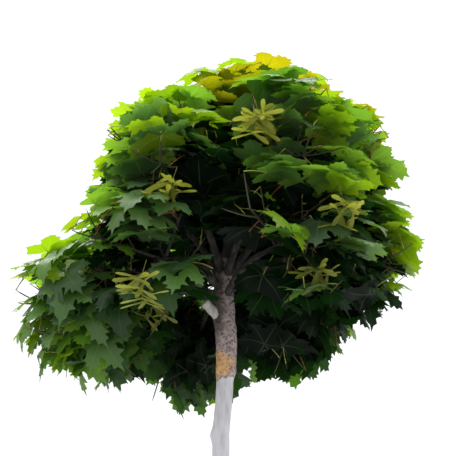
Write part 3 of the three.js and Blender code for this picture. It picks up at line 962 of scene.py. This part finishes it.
class MAPLE_OT_trunk(bpy.types.Operator):
    """Make the trunk with its bark, root flare and graft"""
    bl_idname = "maple.trunk"
    bl_label = "Trunk"

    def execute(self, context):
        settings = context.scene.maple_trunk
        sides = settings.sides
        heights = np.concatenate([
            np.arange(0, 0.2, 0.006), np.arange(0.2, 1.9, 0.012), np.arange(1.9, 2.12, 0.006),
            np.arange(2.12, TRUNK_TOP, 0.0032), [TRUNK_TOP]])
        z, angle = np.meshgrid(heights, 2 * math.pi * np.arange(sides) / sides, indexing="ij")
        radius = trunk_column(3, z) + self.flare(z, angle)
        for swelling in SWELLINGS:
            radius += self.swelling(z, angle, *swelling)
        radius += self.relief(z, angle, settings)
        vertices = np.stack([
            trunk_column(1, z) + radius * np.cos(angle), trunk_column(2, z) + radius * np.sin(angle), z], -1)
        arrays = MeshArrays()
        arrays.add(vertices, tube_faces(len(heights), sides))
        cap = fan_faces(sides, sides)
        arrays.add(np.vstack([vertices[0], [0, 0, 0]]), cap[:, ::-1])
        arrays.add(np.vstack([vertices[-1], trunk_centre(TRUNK_TOP) + UP * 0.003]), cap)
        piece = arrays.to_object("trunk_with_bark", [bark_material("trunk_bark", TRUNK_GREYS, graft=True)])
        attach(piece, "root")
        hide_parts("trunk")
        return {"FINISHED"}

    @staticmethod
    def flare(z, angle):
        """The foot of the trunk, drawn out into five roots."""
        return 0.019 * np.exp(-z / 0.060) * (1 + 0.33 * np.cos(5 * angle))

    @staticmethod
    def swelling(z, angle, middle, heading_degrees, bulge, spread):
        """A round bump on one side of the trunk."""
        turn = angle - math.radians(heading_degrees)
        around = 0.022 * np.arctan2(np.sin(turn), np.cos(turn))
        return bulge * np.exp(-((z - middle) ** 2 + around ** 2) / spread ** 2)

    @staticmethod
    def relief(z, angle, settings):
        """Fine streaks on smooth bark; ridges, pits and an uneven lip at the graft."""
        heights = np.empty(z.shape)
        for index in np.ndindex(z.shape):
            here = Vector((math.cos(angle[index]), math.sin(angle[index]), z[index] * 22))
            heights[index] = noise.fractal(here * 2.2, 0.8, 2.0, 4)
        rough = np.clip((z - ROUGH_FROM) / 0.012, 0, 1) * np.clip((TRUNK_TOP - z) / 0.03, 0, 1)
        return heights * between(settings.relief, settings.graft_relief, rough)


class MAPLE_OT_stub(bpy.types.Operator):
    """Make the pruned stub with its pale sawn end"""
    bl_idname = "maple.stub"
    bl_label = "Pruned stub"

    def execute(self, context):
        sides, rings, rise = 28, 14, math.radians(38)
        direction = heading(208) * math.cos(rise) + UP * math.sin(rise)
        start = trunk_centre(2.296)
        share = np.linspace(0, 1, rings)
        line = between(start, start + direction * 0.0715, share[:, None])
        arrays = MeshArrays()
        radii = 0.014 - 0.002 * share + 0.0006 * np.sin(np.arange(rings) * 1.7)
        add_tubes(arrays, [line], radii, sides)
        rim = arrays.vertices[0][-sides:]
        middle = rim.mean(axis=0)
        cut = np.concatenate([
            rim, between(middle, rim, 0.82) + direction * 0.0008,
            between(middle, rim, 0.40) + direction * 0.0002, [middle - direction * 0.0006]])
        cap = fan_faces(sides, sides) + 2 * sides
        arrays.add(cut, np.concatenate([tube_faces(3, sides), cap]), 1)
        materials = [bark_material("stub_bark", STUB_GREYS), cut_wood_material()]
        piece = arrays.to_object("stub_with_cut", materials)
        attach(piece, "root")
        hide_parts("pruned_stub")
        return {"FINISHED"}


class MAPLE_OT_boughs(bpy.types.Operator):
    """Make the boughs, from the head to where they enter the foliage"""
    bl_idname = "maple.boughs"
    bl_label = "Boughs"

    def execute(self, context):
        arrays = MeshArrays()
        lines = np.array(crown_for(context).boughs)
        share = np.linspace(0, 1, lines.shape[1])
        radii = between(0.0108, 0.0074, share) + 0.0035 * np.exp(-share / 0.10)
        knobs = np.array([[noise.noise(Vector(point) * 60) for point in line] for line in lines])
        add_tubes(arrays, lines, radii + 0.0007 * knobs, 16)
        vertices = arrays.vertices[0]
        vertices += 0.0006 * np.array([noise.noise_vector(Vector(vertex) * 130) for vertex in vertices])
        piece = arrays.to_object("boughs_with_bark", [bark_material("bough_bark", BOUGH_BROWNS)])
        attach(piece, "root")
        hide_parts(*[f"bough_{mass['name']}" for mass in MASSES])
        return {"FINISHED"}


class MAPLE_OT_twigs(bpy.types.Operator):
    """Make the stems, twigs and fine shoots inside the masses of foliage"""
    bl_idname = "maple.twigs"
    bl_label = "Twigs"

    def execute(self, context):
        crown = crown_for(context)
        arrays = MeshArrays()
        stems = np.array([between(start, end, np.linspace(0, 1, 6)[:, None]) for start, end in crown.stems])
        add_tubes(arrays, stems, np.linspace(0.0072, 0.0050, 6), 10)
        twigs = bezier(*np.swapaxes(crown.twigs, 0, 1), 7)
        add_tubes(arrays, twigs, np.linspace(0.0044, 0.0026, 7), 7)
        shoots = bezier(*np.swapaxes(crown.shoots, 0, 1), 6)
        add_tubes(arrays, shoots, [0.0024, 0.0021, 0.0019, 0.0017, 0.0016, 0.0004], 5, 1)
        # Twig and shoot colours are their bark darkened with painted shade, as inside the crown.
        darker = plain_material("twig_bark_in_painted_shade", (0.040, 0.032, 0.025), 0.75)
        young = plain_material("shoot_bark_in_painted_shade", (0.050, 0.046, 0.020), 0.6)
        piece = arrays.to_object("twigs_and_shoots", [darker, young])
        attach(piece, "root")
        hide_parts(*[f"foliage_{mass['name']}" for mass in MASSES])
        return {"FINISHED"}


class MAPLE_OT_leaves(bpy.types.Operator):
    """Make the leaves in their colours, and the stalks that carry them"""
    bl_idname = "maple.leaves"
    bl_label = "Leaves"

    def execute(self, context):
        crown = crown_for(context)
        random = seeded_random(977)
        templates = [leaf_template(random) for _ in range(TEMPLATES)]
        colours = context.scene.maple_colours
        for tone in ("shade", "deep", "middle", "fresh", "lime", "yellow"):
            leaves = [leaf for leaf in crown.leaves if tone_of(leaf) == tone]
            if leaves:
                self.make_leaves(tone, leaves, templates, tuple(getattr(colours, tone)))
        self.make_stalks(context, crown.leaves)
        return {"FINISHED"}

    @staticmethod
    def make_leaves(tone, leaves, templates, colour):
        """The leaves of one tone, each a bent, folded and waved copy of one of the templates."""
        arrays = MeshArrays()
        for number, (shape, triangles, is_vein) in enumerate(templates):
            chosen = [leaf for leaf in leaves if int(leaf["draw"] * 9973) % len(templates) == number]
            if not chosen:
                continue
            palm, facing, tipward, width, draw = columns(
                chosen, "palm", "facing", "tipward", "width", "draw")
            draw = draw[:, None]
            sideways = np.cross(tipward, facing)
            x, y, flat_z = shape.T[:, None]
            droop = 0.15 + 0.60 * redraw(draw, 131)
            wave = np.sin(9 * x + 6.28 * redraw(draw, 31)) + np.sin(8 * y + 6.28 * redraw(draw, 17))
            z = bend_of(facing)[:, None] * (flat_z - droop * (np.clip(y, 0, None) ** 2 + 0.3 * x ** 2))
            z += (0.42 * redraw(draw, 57) - 0.12) * np.abs(x) + 0.030 * wave
            vertices = palm[:, None] + width[:, None, None] * (
                x[..., None] * sideways[:, None] + y[..., None] * tipward[:, None]
                + z[..., None] * facing[:, None])
            variant = np.array([variant_of(leaf) for leaf in chosen])[:, None]
            faces = placed_copies(triangles, len(shape), len(chosen))
            arrays.add(vertices, faces, (2 * variant + is_vein).ravel())
        piece = arrays.to_object(f"leaves_{tone}", tone_materials(tone, colour))
        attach(piece, "root")

    @staticmethod
    def make_stalks(context, leaves):
        """Thin stalks, arched a little, from each leaf's root to its palm; about a third are red."""
        root, palm, tipward, draw = columns(leaves, "root", "palm", "tipward", "draw")
        length = np.linalg.norm(palm - root, axis=1, keepdims=True)
        bend = between(root, palm, 0.55) + UP * 0.12 * length - tipward * 0.08 * length
        thickness = np.array([1.5, 1.0, 0.95, 0.9, 0.9, 0.95, 1.1])
        radii = context.scene.maple_crown.stalk_radius * thickness
        is_red = (redraw(draw, 57) < 0.35).astype(int)
        arrays = MeshArrays()
        add_tubes(arrays, bezier(root, bend, palm, len(thickness)), radii, 5, is_red)
        green = plain_material("stalk_green", (0.33, 0.36, 0.06), 0.45)
        red = plain_material("stalk_red", (0.33, 0.13, 0.05), 0.45)
        piece = arrays.to_object("leaf_stalks", [green, red])
        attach(piece, "root")


PAIRS = 11  # of keys in a bunch
# A wing's outline: how far along it, and how far its lower edge lies from its middle.
WING_OUTLINE = [(-0.02, 0.04), (0.10, 0.085), (0.22, 0.055), (0.42, 0.10), (0.68, 0.14), (0.90, 0.11),
                (1.0, 0.025)]


class MAPLE_OT_keys(bpy.types.Operator):
    """Make the hanging bunches of winged keys"""
    bl_idname = "maple.keys"
    bl_label = "Winged keys"

    def execute(self, context):
        arrays = MeshArrays()
        random = seeded_random(431)
        wing_shape, wing_faces = self.wing()
        for root, away, draw in crown_for(context).bunches:
            hang = unit(away * 0.35 - UP)
            side = unit(np.cross(hang, heading(360 * draw)))
            cross = np.cross(hang, side)
            joint = root + hang * 0.035
            add_tubes(arrays, [bezier(root, root + hang * 0.015, joint, 4)], 0.0010, 4)
            for number in range(PAIRS):
                turn = GOLDEN_ANGLE * number + draw
                spread = 0.15 + 0.65 * random()
                way = unit(hang + spread * (side * math.cos(turn) + cross * math.sin(turn)))
                seed = joint + way * (0.012 + 0.052 * random())
                add_tubes(arrays, [bezier(joint, between(joint, seed, 0.5), seed, 4)], 0.0006, 3)
                self.add_pair(arrays, seed, unit(way - UP * 0.6), random, wing_shape, wing_faces)
        material = leaf_material("key_skin", (0.230, 0.255, 0.040), (0.380, 0.400, 0.040), 0.5)
        piece = arrays.to_object("winged_keys", [material])
        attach(piece, "root")
        return {"FINISHED"}

    @staticmethod
    def wing():
        """A wing of length 1: a narrow seed end that widens into a rounded blade."""
        upper = [(x, y * 0.75 + 0.02, 0.0) for x, y in WING_OUTLINE]
        lower = [(x, -y, 0.0) for x, y in WING_OUTLINE]
        middle = [(x, 0.0, 0.045 if x < 0.3 else 0.012) for x, _ in WING_OUTLINE]
        points = np.array(upper + middle + lower)
        count = len(WING_OUTLINE)
        faces = []
        for low, high in ((0, count), (count, 2 * count)):
            for i in range(count - 1):
                faces += [(low + i, high + i, low + i + 1), (low + i + 1, high + i, high + i + 1)]
        return points, np.array(faces)

    @staticmethod
    def add_pair(arrays, seed, hang, random, shape, faces):
        """Two wings that spread from one seed."""
        side = unit(np.cross(hang, heading(360 * random())))
        for hand in (-1, 1):
            tipward = unit(hang * 0.32 + side * hand)
            facing = unit(np.cross(tipward, np.cross(hang, side)))
            cross = np.cross(facing, tipward)
            length = 0.042 + 0.010 * random()
            arrays.add(seed + length * shape @ np.array([tipward, cross, facing]), faces)


# How bright the sky is from straight below (0) past the horizon (0.5) to straight overhead (1).
SKY_LEVELS = [(0.40, 0.165), (0.52, 0.178), (0.58, 0.190), (0.80, 0.200), (0.90, 0.380), (1.00, 0.780)]
SKY_STRENGTH = 6.0


class MAPLE_OT_stage(bpy.types.Operator):
    """Set up the floor, the light and the camera"""
    bl_idname = "maple.stage"
    bl_label = "Stage"

    def execute(self, context):
        settings = context.scene.maple_stage
        self.make_floor()
        self.make_world(context)
        self.make_light("sky_light", (-0.9, 1.9, 5.4), (0.02, 0.0, 2.5), 2.4, 150)
        camera = bpy.data.cameras.new("camera")
        camera.lens = settings.lens
        camera.sensor_width = 36.0
        viewer = bpy.data.objects.new("camera", camera)
        viewer.location = (0.012, -settings.camera_distance, settings.camera_height)
        viewer.rotation_euler = (math.pi / 2 + settings.camera_pitch, 0, 0)
        context.scene.collection.objects.link(viewer)
        context.scene.camera = viewer
        context.scene.view_settings.view_transform = "Standard"
        return {"FINISHED"}

    @staticmethod
    def make_floor():
        half, below = 3.0, -0.0005
        mesh = bpy.data.meshes.new("floor")
        corners = [(x * half, y * half, below) for x, y in ((-1, -1), (1, -1), (1, 1), (-1, 1))]
        mesh.from_pydata(corners, [], [(0, 1, 2, 3)])
        mesh.materials.append(plain_material("floor_pale", (0.32, 0.32, 0.315), 0.8))
        floor = bpy.data.objects.new("floor", mesh)
        bpy.context.scene.collection.objects.link(floor)

    @staticmethod
    def make_world(context):
        """A bright cloudy sky: dim below the horizon, white above it and brightest overhead."""
        world = bpy.data.worlds.new("sky")
        world.use_nodes = True
        tree = world.node_tree
        way = add_node(tree, "ShaderNodeTexCoord", {}).outputs["Generated"]
        split = add_node(tree, "ShaderNodeSeparateXYZ", {"Vector": way})
        height = fade(tree, split.outputs["Z"], -1.0, 1.0)
        strength = ramp(tree, height, [(share, (level,) * 3) for share, level in SKY_LEVELS])
        background = tree.nodes["Background"]
        plug(background.inputs["Color"], (0.955, 0.965, 1.0))
        plug(background.inputs["Strength"], combine(tree, "MULTIPLY", strength, SKY_STRENGTH))
        context.scene.world = world

    @staticmethod
    def make_light(name, place, target, size, energy):
        light = bpy.data.lights.new(name, "AREA")
        light.size = size
        light.energy = energy
        lamp = bpy.data.objects.new(name, light)
        lamp.location = place
        lamp.rotation_euler = (Vector(target) - Vector(place)).to_track_quat("-Z", "Y").to_euler()
        bpy.context.scene.collection.objects.link(lamp)


class MAPLE_PT_panel(bpy.types.Panel):
    """The maple's settings and the buttons that make its pieces"""
    bl_idname = "MAPLE_PT_panel"
    bl_label = "Globe maple"
    bl_space_type = "VIEW_3D"
    bl_region_type = "UI"
    bl_category = "Maple"

    def draw(self, context):
        for name, group in SETTINGS.items():
            box = self.layout.box()
            for prop in group.__annotations__:
                box.prop(getattr(context.scene, name), prop)
        for operator in OPERATORS:
            self.layout.operator(operator.bl_idname)


OPERATORS = [MAPLE_OT_trunk, MAPLE_OT_stub, MAPLE_OT_boughs, MAPLE_OT_twigs, MAPLE_OT_leaves, MAPLE_OT_keys,
             MAPLE_OT_stage]
CLASSES = [*SETTINGS.values(), *OPERATORS, MAPLE_PT_panel]


def register():
    for item in CLASSES:
        bpy.utils.register_class(item)
    for name, group in SETTINGS.items():
        setattr(bpy.types.Scene, name, bpy.props.PointerProperty(type=group))


def unregister():
    for name in SETTINGS:
        delattr(bpy.types.Scene, name)
    for item in reversed(CLASSES):
        bpy.utils.unregister_class(item)


def main():
    """Makes every piece in order."""
    register()
    for operator in OPERATORS:
        group, name = operator.bl_idname.split(".")
        getattr(getattr(bpy.ops, group), name)()


if __name__ == "__main__":
    main()
